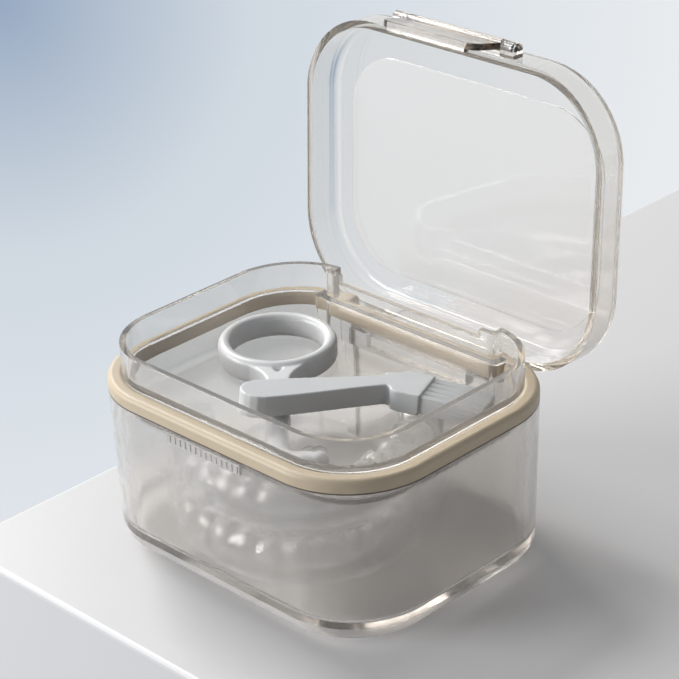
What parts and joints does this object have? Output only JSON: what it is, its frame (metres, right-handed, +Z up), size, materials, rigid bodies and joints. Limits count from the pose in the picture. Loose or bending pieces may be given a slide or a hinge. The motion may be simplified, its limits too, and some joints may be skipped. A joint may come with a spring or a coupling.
{
  "type": "orthodontic retainer case",
  "caption": "Clear rounded box with a hinged clasp lid, beige seal ring and lift-out tray that holds a removal hook and brush over clear retainers.",
  "frame": {"origin": "middle of the flat underside of the base", "axes": "+Z up, +X to the right along the front, +Y from the front catch to the hinge"},
  "size_m": [0.09, 0.0905, 0.112],
  "materials": {
    "smoke_case": "smoky clear plastic, faintly frosted",
    "smoke_lid": "smoky clear plastic, polished",
    "clear_tray": "clear plastic, polished",
    "beige_silicone": "satin silicone",
    "white_plastic": "white moulded plastic, soft gloss",
    "nylon_bristle": "white nylon strands",
    "retainer_film": "thermoformed clear film",
    "steel_pin": "drawn wire"
  },
  "bodies": {
    "base": {"base_shell": "smoke_case", "catch_strip": "smoke_case", "seal_ring": "beige_silicone", "hinge_pin": "steel_pin"},
    "lid": {"lid_shell": "smoke_lid", "clasp_pin": "steel_pin"},
    "clasp": {"clasp": "smoke_lid"},
    "tray": {"tray": "clear_tray"},
    "hook": {"hook_tool": "white_plastic"},
    "brush": {"brush_handle": "white_plastic", "brush_bristles": "nylon_bristle"},
    "lower_retainer": {"lower_retainer": "retainer_film"},
    "upper_retainer": {"upper_retainer": "retainer_film"}
  },
  "joints": [
    {"name": "lid_hinge", "type": "hinge", "parent": "base", "child": "lid", "pos_m": [0, 0.0354, 0.036], "axis": [-1, 0, 0], "range_deg": [-93, 0]},
    {"name": "clasp_swing", "type": "hinge", "parent": "lid", "child": "clasp", "pos_m": [0, 0.04673, 0.10886], "axis": [-1, 0, 0], "range_deg": [-10, 166]},
    {"name": "tray_lift", "type": "slide", "parent": "base", "child": "tray", "axis": [0, 0, 1], "range_m": [0, 0.025]},
    {"name": "hook_lift", "type": "hinge", "parent": "tray", "child": "hook", "pos_m": [0.0213, -0.0258, 0.0334], "axis": [0.6947, 0.7193, 0], "range_deg": [0, 14]},
    {"name": "brush_lift", "type": "hinge", "parent": "hook", "child": "brush", "pos_m": [-0.0031, -0.0225, 0.04], "axis": [0.8829, -0.4695, 0], "range_deg": [0, 28]},
    {"name": "lower_retainer_rattle", "type": "slide", "parent": "base", "child": "lower_retainer", "axis": [0, 0, 1], "range_m": [0, 0.0025]},
    {"name": "upper_retainer_rattle", "type": "slide", "parent": "lower_retainer", "child": "upper_retainer", "axis": [0, 0, 1], "range_m": [0, 0.0025]}
  ]
}
